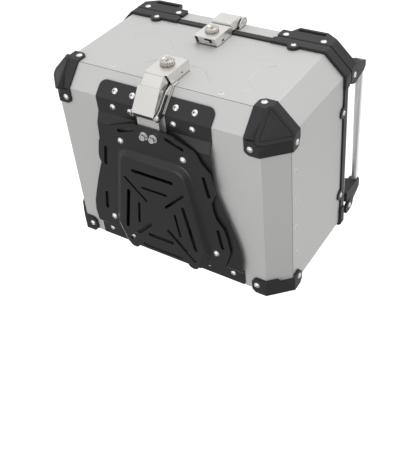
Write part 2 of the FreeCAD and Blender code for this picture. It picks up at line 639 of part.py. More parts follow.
# ---------------------------------------------------------------- locks shared by both latches
BARREL_R = 11.2
FLUTES = 16               # shallow grooves round each lock's collar
LOCK_DEPTH = 5.5          # from a housing's face to the back of its lock
PLUG_R = 6.6
PLUG_GAP = 0.06


def lock_barrel(z, face_y, front_y):
    """The fixed barrel: a fluted collar outside the housing, a threaded tube inside."""
    back = face_y + LOCK_DEPTH
    tube = rod(0, back, z, 8.8, back - front_y - 1.0, "-Y")
    rim = Part.makeCone(BARREL_R, BARREL_R - 1.6, 1.6, V(0, front_y + 1.6, z), V(0, -1, 0))
    collar = rod(0, face_y, z, BARREL_R, face_y - front_y - 1.6, "-Y").fuse(rim)
    flutes = []
    for i in range(FLUTES):
        turn = 2 * math.pi * (i + 0.5) / FLUTES
        reach = BARREL_R + 0.4
        flutes.append(rod(reach * math.cos(turn), face_y - 1.4, z + reach * math.sin(turn), 1.5, 20, "-Y"))
    dish = Part.makeCone(PLUG_R + 0.3, PLUG_R + 1.9, 1.6, V(0, front_y + 1.6, z), V(0, -1, 0))
    bore = rod(0, face_y + 20, z, PLUG_R + PLUG_GAP, 60, "-Y")
    return tube.fuse(collar).cut(flutes + [dish, bore]).removeSplitter()


def lock_nuts():
    """The two nuts that clamp the barrels to their housings."""
    nuts = []
    for z, face_y in ((BASE_LOCK_Z, BASE_BOX_Y), (LID_LOCK_Z, LID_BOX_Y)):
        reach = 22.0 / math.sqrt(3)
        pts = [(reach * math.cos(math.pi / 3 * i), z + reach * math.sin(math.pi / 3 * i))
               for i in range(6)]
        nut = prism(pts, "XZ", face_y + STEEL, face_y + STEEL + 3.0)
        nuts.append(nut.cut(rod(0, face_y, z, 8.8, 20, "Y")))
    return Part.makeCompound(nuts)


def lock_plug(z, face_y, front_y, pin_angle):
    """The plug that the key turns: key slot in front, eccentric drive pin behind."""
    back = face_y + LOCK_DEPTH
    plug = rod(0, back, z, PLUG_R, back - front_y - 1.7, "-Y")
    slot = box(-0.9, 0.9, front_y - 1, front_y + 9, z - 3.6, z + 3.6)
    disc = rod(0, back + 1.6, z, 7.6, 1.6, "-Y")
    px = CAM_R * math.cos(math.radians(pin_angle))
    pz = z + CAM_R * math.sin(math.radians(pin_angle))
    pin = rod(px, back + 3.4, pz, 1.5, 2.4, "-Y")
    return plug.cut(slot).fuse([disc, pin]).removeSplitter()


def lock_bolt(z, face_y, tip_z, pin_angle):
    """The bolt that the drive pin lifts or lowers, with a cross slot for that pin."""
    back = face_y + LOCK_DEPTH
    y0, y1 = back + 1.9, back + 3.7
    pz = z + CAM_R * math.sin(math.radians(pin_angle))
    low, high = (tip_z, z + 9.0) if tip_z < z else (z - 9.0, tip_z)
    bar = box(-7.5, 7.5, y0, y1, low, high)
    slot = box(-6.0, 6.0, y0 - 1, y1 + 1, pz - 1.9, pz + 1.9)
    return bar.cut(slot)


# ---------------------------------------------------------------- base latch
def base_box():
    """The lock housing on the rear wall: a deep-drawn steel cover, open underneath."""
    low, high = BASE_BOX_Z
    side = [(REAR_Y, high), (BASE_BOX_Y, high), (BASE_BOX_Y, low), (REAR_Y, low + 9.0)]
    inner = [(REAR_Y + 1, high - STEEL), (BASE_BOX_Y + STEEL, high - STEEL),
             (BASE_BOX_Y + STEEL, low - 1), (REAR_Y + 1, low - 1)]
    shell = prism(side, "YZ", -LATCH_HALF, LATCH_HALF, [0, 4, 0, 0])
    shell = shell.cut(prism(inner, "YZ", -LATCH_HALF + STEEL, LATCH_HALF - STEEL, [0, 2.5, 0, 0]))
    hole = rod(0, REAR_Y, BASE_LOCK_Z, 8.8, 40, "-Y")
    vent = rod(LATCH_HALF - 5, -170.0, 82.0, 1.8, 8, "X")
    return shell.cut([hole, vent]).removeSplitter()


def base_bracket():
    """Folded steel base: wall plate, a web down the bevel, and two ears for the pin."""
    path = [(REAR_Y, SEAM_Z + 12.0), (REAR_Y, SEAM_Z), (CREASE_Y, BASE_Z)]
    strip = box(-16.0, 16.0, REAR_Y - STEEL, REAR_Y, SEAM_Z + 5.0, 98.0)
    web = bent_sheet(path[::-1], STEEL, -WEB_HALF, WEB_HALF)
    ear = [on_bevel(SLOPE), on_bevel(SLOPE, 7.0), on_bevel(30.0, 13.0), on_bevel(4.0, 13.0),
           (-138.4, 7.0), (-138.0, 0.4), (-128.5, 0.4), (-126.5, 7.0), (-128.0, BASE_Z), (CREASE_Y, BASE_Z)]
    bends = [0, 4, 6, 6, 3, 3.5, 4.5, 6, 0, 0]
    ears = [prism(ear, "YZ", s * 23.0, s * 21.4, bends) for s in (-1, 1)]
    whole = web.fuse(ears + [strip])
    hole = rod(-30, *LEVER_PIN, 3.0, 60, "X")
    return whole.cut([hole, case_solid()]).removeSplitter()


def lever_skin(path, half, depth, thick):
    """A channel-shaped cover along a path: a face and two side walls."""
    face = bent_sheet(path, thick, -half, half)
    walls = [bent_sheet(path, depth, -half, thick - half), bent_sheet(path, depth, half - thick, half)]
    return face.fuse(walls).removeSplitter()


def lever_cover():
    """The lower cover of the base latch, which carries the pin."""
    path = [LEVER_CREASE, LEVER_FOOT]
    cover = lever_skin(path, 19.6, 10.0, STEEL)
    ear = [(-128.6, 8.2), (-128.6, 2.2), (-137.5, 0.9), (-150.0, 9.8), (-146.0, 17.0), (-136.0, 9.6)]
    ears = [prism(ear, "YZ", s * 19.6, s * 18.1, [3, 3, 0, 0, 4, 3]) for s in (-1, 1)]
    hole = rod(-30, *LEVER_PIN, 3.0, 60, "X")
    return cover.fuse(ears).cut(hole).removeSplitter()


def lever_tip():
    """The narrower upper cover, with the lip that the lock bolt drops into."""
    half, low = 16.6, (LEVER_CREASE[0] + 1.8, LEVER_CREASE[1] + 1.4)
    face = bent_sheet([LEVER_TOP, low], STEEL, -half, half)
    side = [LEVER_TOP, (-183.2, 44.2), (-169.0, 50.0), (-158.5, 37.0), low]
    walls = [prism(side, "YZ", s * half, s * (half - STEEL), [0, 0, 2, 6, 0]) for s in (-1, 1)]
    lip_z = LEVER_TOP[1] - 3.4
    lip = box(-half, half, LEVER_TOP[0] + 2.0, LEVER_TOP[0] + 15.0, lip_z, lip_z + STEEL)
    bolt_y = BASE_BOX_Y + LOCK_DEPTH
    window = box(-8.3, 8.3, bolt_y + 1.3, bolt_y + 4.3, lip_z - 1, lip_z + 3)
    above = box(-20.0, 20.0, -200.0, -180.0, BASE_BOX_Z[0] - 0.4, 60.0)
    return face.fuse(walls + [lip]).cut([window, above]).removeSplitter()


def lever_cam():
    """The drum on the lever's pin: its high side, upwards, presses on the tongue."""
    y, z = LEVER_PIN
    half = 18.1
    drum = rod(-half, y, z, 3.9, 2 * half, "X").fuse(rod(-half, y, z + 1.0, 3.9, 2 * half, "X"))
    return drum.cut(rod(-30, y, z, 3.0, 60, "X")).removeSplitter()


def lever_pin():
    """The pivot pin: a shank with a pan head at each end, held in the bracket's ears."""
    shank = rod(-25.0, *LEVER_PIN, 2.95, 50.0, "X")
    heads = [pan_head((s * 23.0, *LEVER_PIN), (s, 0, 0), 4.6, 2.8, 1.0, 2.9) for s in (-1, 1)]
    return shank.fuse(heads).removeSplitter()


def latch_rivets(spots):
    """Rivets through a latch's base into the rear wall."""
    return Part.makeCompound([pan_head((x, REAR_Y - STEEL, z), (0, -1, 0), 3.2, 1.4, 4.5, 1.6)
                              for x, z in spots])


# ---------------------------------------------------------------- lid latch
def lid_box():
    """The lid lock's housing on the rear wall; its lower end has a gap and an L-shaped slot."""
    low, high = LID_BOX_Z
    side = [(REAR_Y, high), (LID_BOX_Y, high), (LID_BOX_Y, low), (REAR_Y, low + 6.0)]
    inner = [(REAR_Y + 1, high - STEEL), (LID_BOX_Y + STEEL, high - STEEL),
             (LID_BOX_Y + STEEL, low + 2.4), (REAR_Y + 1, low + 8.2)]
    shell = prism(side, "YZ", -LATCH_HALF, LATCH_HALF, [0, 3, 0, 0])
    shell = shell.cut(prism(inner, "YZ", -LATCH_HALF + STEEL, LATCH_HALF - STEEL, [0, 1.5, 0, 0]))
    gap = box(-LATCH_HALF + STEEL, -LATCH_HALF + 7.0, LID_BOX_Y + STEEL, REAR_Y - 2.0, low - 1, low + 9)
    slot = box(-1.5, 12.5, LID_BOX_Y + 2.4, LID_BOX_Y + 6.4, low - 1, low + 9)
    hook_hole = box(7.0, 12.5, LID_BOX_Y + 6.0, LID_BOX_Y + 10.5, low - 1, low + 9)
    hole = rod(0, REAR_Y, LID_LOCK_Z, 8.8, 40, "-Y")
    bolt_y = LID_BOX_Y + LOCK_DEPTH
    bolt_room = box(-8.0, 8.0, bolt_y + 1.4, bolt_y + 4.2, high - 4, high + 1)
    side_slot = box(LATCH_HALF - 3, LATCH_HALF + 1, -169.0, -165.5, 197.0, 203.0)
    return shell.cut([gap, slot, hook_hole, hole, bolt_room, side_slot]).removeSplitter()


def lid_bracket():
    """The bracket on the lid's rear wall, with two round ears for the hasp's pin."""
    plate = box(-22.0, 22.0, REAR_Y - STEEL, REAR_Y, 249.0, 268.0)
    ears = []
    ear = [(REAR_Y, 249.0), (REAR_Y, 268.0), (-166.0, 274.0), (-175.5, 273.0), (-178.5, 262.0),
           (-174.0, 252.0), (-168.0, 249.0)]
    for s in (-1, 1):
        ears.append(prism(ear, "YZ", s * 22.0, s * 20.4, [0, 0, 4, 5, 5, 5, 3]))
    hole = rod(-30, *HASP_PIN, 2.5, 60, "X")
    return plate.fuse(ears).cut(hole).removeSplitter()


def hasp():
    """The lid latch's cover: a channel on the pin, with a lip over the lock bolt."""
    face_y, low_z, back_y = -182.0, 228.4, -167.8
    side = [(face_y, low_z), (face_y, 259.5), (-176.0, 268.5), (-167.5, 268.5), (-166.2, 262.0),
            (back_y, 258.0), (back_y, low_z)]
    solid = prism(side, "YZ", -18.5, 18.5, [1, 7, 5, 4, 2, 2, 0])
    room = [(face_y + STEEL, low_z + STEEL), (face_y + STEEL, 258.5), (-175.5, 266.5),
            (-150.0, 266.5), (-150.0, low_z + STEEL)]
    hollow = prism(room, "YZ", -18.5 + STEEL, 18.5 - STEEL, [0, 5, 4, 0, 0])
    lip = box(-17.0, 17.0, face_y + 1.0, BAND_Y - 0.7, low_z, low_z + STEEL)
    bolt_y = LID_BOX_Y + LOCK_DEPTH
    window = box(-8.3, 8.3, bolt_y + 1.4, bolt_y + 4.2, low_z - 1, low_z + 3)
    tube = rod(-18.5, *HASP_PIN, 4.2, 37.0, "X")
    hole = rod(-30, *HASP_PIN, 2.55, 60, "X")
    return solid.cut(hollow).fuse([lip, tube]).cut([window, hole]).removeSplitter()


def hasp_pin():
    """The pin of the hasp, peened at both ends."""
    heads = [pan_head((s * 22.0, *HASP_PIN), (s, 0, 0), 3.8, 1.6, 1.0, 2.4) for s in (-1, 1)]
    return rod(-22.0, *HASP_PIN, 2.5, 44.0, "X").fuse(heads).removeSplitter()


# ---------------------------------------------------------------- lid
def lid_form(inset, bend=4.0):
    """The lid's outer form moved in by inset."""
    roof = LID_TOP_Z - inset
    turn = inset * (math.sqrt(2) - 1)
    w, d = HALF_W - inset, HALF_D - inset
    side_z, rear_z = LID_SIDE_Z - turn, LID_REAR_Z - turn
    low = SPLIT_Z - (1 if inset else 0)
    across = [(-w, low), (-w, side_z), (-w + roof - side_z, roof), (w - roof + side_z, roof),
              (w, side_z), (w, low)]
    along = [(-d, low), (-d, rear_z), (-d + roof - rear_z, roof), (d - roof + rear_z, roof),
             (d, rear_z), (d, low)]
    bends = [0] + [bend] * 4 + [0]
    plan = plan_prism(inset, low, roof, bend)
    return plan.common(prism(across, "XZ", -200, 200, bends)).common(
        prism(along, "YZ", -240, 240, bends))


def lid_shell():
    """The folded and welded lid sheet, with three stiffening ribs stamped in its top."""
    shell = lid_form(0.0).cut(lid_form(SHEET))
    ribs = []
    for x in (-95.0, 0.0, 95.0):
        ribs.append(prism([(x - 28, -118), (x + 28, -118), (x + 28, 118), (x - 28, 118)],
                          "XY", LID_TOP_Z - SHEET, LID_TOP_Z + 1.6, 14.0))
    rooms = []
    for x in (-95.0, 0.0, 95.0):
        rooms.append(prism([(x - 26, -116), (x + 26, -116), (x + 26, 116), (x - 26, 116)],
                           "XY", LID_TOP_Z - SHEET - 1, LID_TOP_Z + 0.2, 12.0))
    return shell.fuse(ribs).cut(rooms).removeSplitter()


def lid_rim():
    """The black rim inside the lid's lower edge that presses on the seal."""
    ring = plan_prism(SHEET, SPLIT_Z, SPLIT_Z + 7.0, 4.0).cut(
        plan_prism(10.0, SPLIT_Z - 1, SPLIT_Z + 10, 4.0))
    seat = plan_prism(2.2, SPLIT_Z - 1, SPLIT_Z + 2.5, 4.0).cut(
        plan_prism(7.3, SPLIT_Z - 1, SPLIT_Z + 2.5, 4.0))
    return ring.cut(seat).removeSplitter()


LID_REAR_SCREWS = [((103.0, REAR_Y - PLASTIC, 256.0), (0, -1, 0)),
                   ((168.0, REAR_Y - PLASTIC, 256.5), (0, -1, 0)),
                   ((HALF_W + PLASTIC, -120.0, 260.0), (1, 0, 0))]
LID_FRONT_SCREWS = [((HALF_W + PLASTIC, 146.0, 263.5), (1, 0, 0))]
WRAP_TOP_Z = 271.0        # top of the rear guards round the upright's chamfer
SEAT_TOP_Z = 304.0        # top of the rails' sockets


def rail_seat(y0, y1):
    """The block that carries a rail's end, standing on the lid's side bevel."""
    foot = LID_SIDE_Z + HALF_W
    face = HALF_W + PLASTIC
    pts = [(HALF_W, foot - HALF_W), (face, foot - HALF_W), (face, 299.0), (face - 3, SEAT_TOP_Z),
           (RAIL_X - 5, SEAT_TOP_Z), (RAIL_X - 9, 301.0), (RAIL_X - 9, 291.0), (188.0, 283.0),
           (188.0, foot - 188.0)]
    return prism(pts, "XZ", y0, y1)


def lid_rear_guard():
    """Right rear lid guard: plate, tie-down bar, chamfer wrap, side ear and rail socket."""
    out = REAR_Y - PLASTIC
    plate = [(91, GUARD_Z), (184, GUARD_Z), (184, WRAP_TOP_Z), (163, 285), (114, 285),
             (106, 269), (91, 269)]
    rear = prism(plate, "XZ", out, REAR_Y, [3, 0, 0, 4, 3, 2, 3])
    opening = prism([(115, 272.5), (163, 272.5), (163, 280), (115, 280)], "XZ", -200, -100, 3.0)
    wrap = plan_prism(-PLASTIC, GUARD_Z, WRAP_TOP_Z, 1.0).cut(plan_prism(0.0, 200, 300, 0.0))
    wrap = wrap.common(box(181, 230, -180, -131, GUARD_Z, WRAP_TOP_Z))
    ear = [(-134, GUARD_Z), (-109, GUARD_Z), (-103, 263), (-109, 296), (-114, SEAT_TOP_Z),
           (-125, SEAT_TOP_Z), (-133, 285), (-135, WRAP_TOP_Z)]
    side = prism(ear, "YZ", HALF_W, HALF_W + PLASTIC, [0, 2, 4, 5, 5, 5, 3, 0])
    seat = rail_seat(-131.0, -109.0).common(prism(ear, "YZ", 180, 225, [0, 2, 4, 5, 5, 5, 3, 0]))
    guard = rear.fuse([wrap, side, seat])
    rail = rod(RAIL_X, RAIL_Y[0], RAIL_Z, RAIL_R, 100, "Y")
    return guard.cut([opening, rail, lid_form(0.0, 0.0)]).removeSplitter()


def lid_front_guard():
    """Right front lid guard: rail socket and a strap down to the lid's front corner."""
    strap = [(109, 290), (109, 300), (113, SEAT_TOP_Z), (128, SEAT_TOP_Z), (132, 300), (141, 281), (153, 276),
             (157, 266), (157, 250), (141, 250), (133, 264), (121, 283)]
    side = prism(strap, "YZ", HALF_W, HALF_W + PLASTIC, [3, 3, 3, 3, 3, 5, 5, 5, 3, 3, 5, 5])
    seat = rail_seat(110.0, 130.0)
    rail = rod(RAIL_X, RAIL_Y[1], RAIL_Z, RAIL_R, 100, "-Y")
    return side.fuse(seat).cut([rail, lid_form(0.0, 0.0)]).removeSplitter()


def lid_rail():
    """Right rail: an aluminium tube for tying luggage to the lid."""
    tube = rod(RAIL_X, RAIL_Y[0], RAIL_Z, RAIL_R, RAIL_Y[1] - RAIL_Y[0], "Y")
    return tube.cut(rod(RAIL_X, RAIL_Y[0] - 1, RAIL_Z, RAIL_R - 1.5, 300, "Y"))


def lid_screws():
    """Pan-head screws of the lid's guards."""
    right = [pan_head(p, d, shank=7.0) for p, d in LID_REAR_SCREWS + LID_FRONT_SCREWS]
    return Part.makeCompound(right + [mirrored(s) for s in right])


# ---------------------------------------------------------------- lid hinges
KNUCKLE_R = 3.6
HINGE_PIN_R = 1.75


def hinge_leaves(on_lid):
    """One leaf of each hinge, with its knuckles on the shared axis."""
    y, z = HINGE_AXIS
    leaves = []
    for x in HINGE_X:
        if on_lid:
            path = [(HALF_D, 262.0), (HALF_D, z + 4.0), (y - 1.0, z + KNUCKLE_R - 0.75)]
            spans = [(-9.0, 9.0)]
        else:
            path = [(y - 1.0, z - KNUCKLE_R + 0.75), (HALF_D + BAND_PROUD, z - 5.0),
                    (HALF_D + BAND_PROUD, 226.5), (HALF_D, 223.5), (HALF_D, 206.0)]
            spans = [(-HINGE_HALF, -9.4), (9.4, HINGE_HALF)]
        plate = bent_sheet(path, STEEL, x - HINGE_HALF, x + HINGE_HALF)
        gap = [rod(x + a, y, z, KNUCKLE_R + 0.5, b - a, "X") for a, b in
               ((-HINGE_HALF - 1, -9.2), (-9.2, 9.2), (9.2, HINGE_HALF + 1))]
        others = [g for i, g in enumerate(gap) if (i == 1) != on_lid]
        knuckles = [rod(x + a, y, z, KNUCKLE_R, b - a, "X") for a, b in spans]
        bore = rod(x - 40, y, z, HINGE_PIN_R + 0.05, 80, "X")
        leaves.append(plate.cut(others).fuse(knuckles).cut(bore).removeSplitter())
    return Part.makeCompound(leaves)


def hinge_pins():
    """The two hinge pins, held in the body leaves."""
    y, z = HINGE_AXIS
    return Part.makeCompound([rod(x - HINGE_HALF, y, z, HINGE_PIN_R, 2 * HINGE_HALF, "X")
                              for x in HINGE_X])


def hinge_rivets(z):
    """Two rivets per leaf."""
    return Part.makeCompound([pan_head((x + dx, HALF_D + STEEL, z), (0, 1, 0), 3.4, 1.6, 3.4, 1.6)
                              for x in HINGE_X for dx in (-16.0, 16.0)])


# ---------------------------------------------------------------- nodes
BASE_PIN_ANGLE = 45.0     # the base lock's drive pin starts high and pushes its bolt down
LID_PIN_ANGLE = -45.0     # the lid lock's starts low and pushes its bolt up
BASE_FRONT_Y = BASE_BOX_Y - 8.0
LID_FRONT_Y = LID_BOX_Y - 7.0

PARTS = {
    "wall_wrap": wall_wrap(),
    "bottom_pan": bottom_pan(),
    "pan_rivets": pan_rivets(),
    "mouth_band": mouth_band(),
    "mouth_seal": mouth_seal(),
    "band_rivets": band_rivets(),
    "guard_screws": guard_screws(),
    "adapter_plate": adapter_plate(),
    "adapter_rivets": adapter_rivets(),
    "catch_hooks": catch_hooks(),
    "rack_plate": rack_plate(),
    "plate_pads": plate_pads(),
    "rack_screws": rack_screws(),
    "hook_tongue": hook_tongue(),
    "tongue_bolts": tongue_bolts(),
    "tongue_washers": tongue_washers(),
    "tongue_nuts": tongue_nuts(),
    "base_lock_box": base_box(),
    "base_bracket": base_bracket(),
    "base_bracket_rivets": latch_rivets([(-11.0, 92.0), (11.0, 92.0), (-11.0, 62.0), (11.0, 62.0)]),
    "base_lock_barrel": lock_barrel(BASE_LOCK_Z, BASE_BOX_Y, BASE_FRONT_Y),
    "base_lock_plug": lock_plug(BASE_LOCK_Z, BASE_BOX_Y, BASE_FRONT_Y, BASE_PIN_ANGLE),
    "base_lock_bolt": lock_bolt(BASE_LOCK_Z, BASE_BOX_Y, 42.5, BASE_PIN_ANGLE),
    "lock_nuts": lock_nuts(),
    "lever_cover": lever_cover(),
    "lever_tip": lever_tip(),
    "lever_cam": lever_cam(),
    "lever_pin": lever_pin(),
    "lid_lock_box": lid_box(),
    "lid_lock_barrel": lock_barrel(LID_LOCK_Z, LID_BOX_Y, LID_FRONT_Y),
    "lid_lock_plug": lock_plug(LID_LOCK_Z, LID_BOX_Y, LID_FRONT_Y, LID_PIN_ANGLE),
    "lid_lock_bolt": lock_bolt(LID_LOCK_Z, LID_BOX_Y, 226.5, LID_PIN_ANGLE),
    "lid_bracket": lid_bracket(),
    "hasp": hasp(),
    "hasp_pin": hasp_pin(),
    "lid_shell": lid_shell(),
    "lid_rim": lid_rim(),
    "lid_screws": lid_screws(),
    "body_hinge_leaves": hinge_leaves(False),
    "lid_hinge_leaves": hinge_leaves(True),
    "hinge_pins": hinge_pins(),
    "body_hinge_rivets": hinge_rivets(213.0),
    "lid_hinge_rivets": hinge_rivets(255.5),
}
PAIRED = {
    "rear_trim": rear_trim,
    "front_trim": front_trim,
    "rear_guard": rear_guard,
    "front_guard": front_guard,
    "lid_rear_guard": lid_rear_guard,
    "lid_front_guard": lid_front_guard,
    "lid_rail": lid_rail,
}
for name, make in PAIRED.items():
    right = make()
    PARTS[name + "_right"] = right
    PARTS[name + "_left"] = mirrored(right)

# pieces let into others: fasteners through sheets, and the bracket under the housing's edge
LET_IN = {
    "base_bracket": ["base_lock_box"],
    "pan_rivets": ["wall_wrap", "bottom_pan"],
    "band_rivets": ["mouth_band", "wall_wrap", "rear_trim_right", "rear_trim_left"],
    "guard_screws": ["wall_wrap", "bottom_pan", "rear_guard_right", "rear_guard_left",
                     "front_guard_right", "front_guard_left"],
    "adapter_rivets": ["adapter_plate", "bottom_pan"],
    "base_bracket_rivets": ["base_bracket", "wall_wrap", "bottom_pan"],
    "body_hinge_rivets": ["body_hinge_leaves", "wall_wrap"],
    "lid_hinge_rivets": ["lid_hinge_leaves", "lid_shell"],
    "lid_screws": ["lid_shell", "lid_rear_guard_right", "lid_rear_guard_left",
                   "lid_front_guard_right", "lid_front_guard_left"],
}
for inner, holders in LET_IN.items():
    for holder in holders:
        PARTS[holder] = PARTS[holder].cut(PARTS[inner].Solids)

os.makedirs("parts", exist_ok=True)
for name, shape in PARTS.items():
    shape.exportStep("parts/" + name + ".step")
    print(name, len(shape.Solids), "valid" if shape.isValid() else "INVALID", round(shape.Volume))
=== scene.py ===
import json
import math

import bpy
from mathutils import Matrix, Vector


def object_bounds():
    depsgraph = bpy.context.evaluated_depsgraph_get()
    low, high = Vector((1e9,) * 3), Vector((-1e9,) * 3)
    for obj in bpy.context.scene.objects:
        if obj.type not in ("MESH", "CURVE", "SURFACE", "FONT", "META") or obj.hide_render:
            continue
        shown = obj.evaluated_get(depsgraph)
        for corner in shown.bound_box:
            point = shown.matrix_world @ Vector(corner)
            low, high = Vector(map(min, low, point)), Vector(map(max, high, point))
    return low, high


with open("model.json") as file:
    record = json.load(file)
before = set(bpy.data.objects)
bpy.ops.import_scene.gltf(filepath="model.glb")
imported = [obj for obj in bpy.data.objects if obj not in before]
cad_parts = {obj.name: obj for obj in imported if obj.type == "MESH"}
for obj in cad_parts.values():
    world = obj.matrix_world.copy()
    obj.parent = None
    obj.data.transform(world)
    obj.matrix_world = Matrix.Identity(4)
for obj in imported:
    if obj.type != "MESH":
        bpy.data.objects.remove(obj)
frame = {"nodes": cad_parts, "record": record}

cad_box = [list(corner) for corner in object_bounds()]
MM = 0.001

# ---------------------------------------------------------------- camera and studio sizes
CAMERA_AT = Vector((0.60454, -0.71182, -0.70011))
CAMERA_LOOK = Vector((-0.46023, 0.60904, 0.64596))
CAMERA_UP = Vector((-0.27159, -0.7893, 0.55068))
LENS_MM = 58.323
SENSOR_MM = 36.0
FRAMING_SHIFT = -0.105
NEAREST_SEEN = 0.01
FARTHEST_SEEN = 50.0

CASE_MIDDLE = Vector((0.0, 0.0, 0.15))
LIGHTS = {
    "key": dict(place=(0.4, -2.2, 1.0), size=2.2, power=14.0),
    "top": dict(place=(-0.3, 0.9, 2.0), size=1.6, power=16.0),
    "front_fill": dict(place=(-0.9, 1.8, 0.7), size=1.6, power=20.0),
    "side_fill": dict(place=(1.8, 1.3, 1.2), size=2.0, power=10.0),
    "under_fill": dict(place=(-0.1, 0.0, -2.2), size=1.6, power=14.0),
}
SKY_WAY = (-0.2, -0.97, 0.1)
SKY_TURN = (-0.9, 0.9)
SKY_STRENGTH = (0.30, 0.93)

ROOM = 6.0
OPEN_LEVER_ROOM = 0.050
FLOOR_Z = cad_box[0][2] - OPEN_LEVER_ROOM
# PALE is the colour of the floor's and backdrop's glow; PALE_PAINT is their base colour
PALE = (0.90, 0.90, 0.90, 1.0)
PALE_PAINT = (0.30, 0.30, 0.30, 1.0)
PALE_ROUGHNESS = 0.9
GLOW_REACH = (0.5, 2.5)
GLOW_STRENGTH = (0.72, 1.15)


# ---------------------------------------------------------------- node helpers
def new_material(name):
    """A new material, its nodes, its links and its Principled shader."""
    mat = bpy.data.materials.new(name)
    mat.use_nodes = True
    tree = mat.node_tree
    return mat, tree.nodes, tree.links, tree.nodes["Principled BSDF"]


def carried(nodes, links, value, source, target, smooth=False):
    """A value carried from one range to another, and held at the ends."""
    ramp = nodes.new("ShaderNodeMapRange")
    if smooth:
        ramp.interpolation_type = "SMOOTHSTEP"
    ramp.inputs["From Min"].default_value, ramp.inputs["From Max"].default_value = source
    ramp.inputs["To Min"].default_value, ramp.inputs["To Max"].default_value = target
    links.new(value, ramp.inputs["Value"])
    return ramp.outputs["Result"]


# ---------------------------------------------------------------- camera and studio
def add_camera():
    """The camera at the photograph's viewing angle: below the case and behind it."""
    data = bpy.data.cameras.new("camera")
    data.lens = LENS_MM
    data.sensor_width = SENSOR_MM
    data.shift_y = FRAMING_SHIFT
    data.clip_start = NEAREST_SEEN
    data.clip_end = FARTHEST_SEEN
    camera = bpy.data.objects.new("camera", data)
    bpy.context.scene.collection.objects.link(camera)
    back = -CAMERA_LOOK.normalized()
    right = CAMERA_UP.cross(back).normalized()
    up = back.cross(right)
    turn = Matrix((right, up, back)).transposed()
    camera.matrix_world = Matrix.Translation(CAMERA_AT) @ turn.to_4x4()
    bpy.context.scene.camera = camera


def area_light(name, place, size, power):
    """A soft square light that faces the middle of the case."""
    data = bpy.data.lights.new(name, "AREA")
    data.size = size
    data.energy = power
    light = bpy.data.objects.new(name, data)
    light.location = place
    aim = CASE_MIDDLE - light.location
    light.rotation_euler = aim.to_track_quat("-Z", "Y").to_euler()
    light.visible_camera = False
    bpy.context.scene.collection.objects.link(light)


def pale_surface():
    """A white surface that glows, dimmer near the case and brighter far off, and that can only be seen from
    the side it faces.
    """
    mat, nodes, links, bsdf = new_material("pale")
    bsdf.inputs["Base Color"].default_value = PALE_PAINT
    bsdf.inputs["Roughness"].default_value = PALE_ROUGHNESS
    bsdf.inputs["Emission Color"].default_value = PALE
    here = nodes.new("ShaderNodeNewGeometry")
    away = nodes.new("ShaderNodeVectorMath")
    away.operation = "LENGTH"
    links.new(here.outputs["Position"], away.inputs[0])
    # painted light: the glow grows with distance from the case, so the far floor stays white where the
    # lamps' light falls off
    glow = carried(nodes, links, away.outputs["Value"], GLOW_REACH, GLOW_STRENGTH, smooth=True)
    links.new(glow, bsdf.inputs["Emission Strength"])
    clear = nodes.new("ShaderNodeBsdfTransparent")
    mix = nodes.new("ShaderNodeMixShader")
    links.new(here.outputs["Backfacing"], mix.inputs["Fac"])
    links.new(bsdf.outputs[0], mix.inputs[1])
    links.new(clear.outputs[0], mix.inputs[2])
    links.new(mix.outputs[0], nodes["Material Output"].inputs["Surface"])
    return mat


def stage_plane(name, normal, place, look):
    """A square plane of the studio; it takes shadows and casts none."""
    mesh = bpy.data.meshes.new(name)
    turn = normal.to_track_quat("Z", "Y")
    corners = [turn @ Vector((x, y, 0)) + place
               for x, y in ((-ROOM, -ROOM), (ROOM, -ROOM), (ROOM, ROOM), (-ROOM, ROOM))]
    mesh.from_pydata(corners, [], [(0, 1, 2, 3)])
    mesh.materials.append(look)
    plane = bpy.data.objects.new(name, mesh)
    bpy.context.scene.collection.objects.link(plane)
    plane.visible_diffuse = False
    plane.visible_glossy = False
    plane.visible_transmission = False
    plane.visible_shadow = False


def add_room():
    """A pale floor in a white room. The floor lies clear of the open lever."""
    pale = pale_surface()
    stage_plane("floor", Vector((0, 0, 1)), Vector((0, 0, FLOOR_Z)), pale)
    for axis in range(3):
        for side in (-1, 1):
            inward = Vector((0, 0, 0))
            inward[axis] = -side
            stage_plane("backdrop", inward, -ROOM * inward, pale)


def light_world():
    """A white surround that brightens smoothly towards the case's rear, which is up in the view."""
    world = bpy.data.worlds.new("studio")
    world.use_nodes = True
    nodes, links = world.node_tree.nodes, world.node_tree.links
    sky = nodes["Background"]
    sky.inputs["Color"].default_value = (1.0, 1.0, 1.0, 1.0)
    way = nodes.new("ShaderNodeTexCoord").outputs["Generated"]
    along = nodes.new("ShaderNodeVectorMath")
    along.operation = "DOT_PRODUCT"
    along.inputs[1].default_value = SKY_WAY
    links.new(way, along.inputs[0])
    strength = carried(nodes, links, along.outputs["Value"], SKY_TURN, SKY_STRENGTH, smooth=True)
    links.new(strength, sky.inputs["Strength"])
    bpy.context.scene.world = world


def build_studio():
    """Camera, room, surround and soft lights."""
    add_camera()
    add_room()
    light_world()
    for name, facts in LIGHTS.items():
        area_light(name, **facts)
    bpy.context.scene.view_settings.view_transform = "Standard"


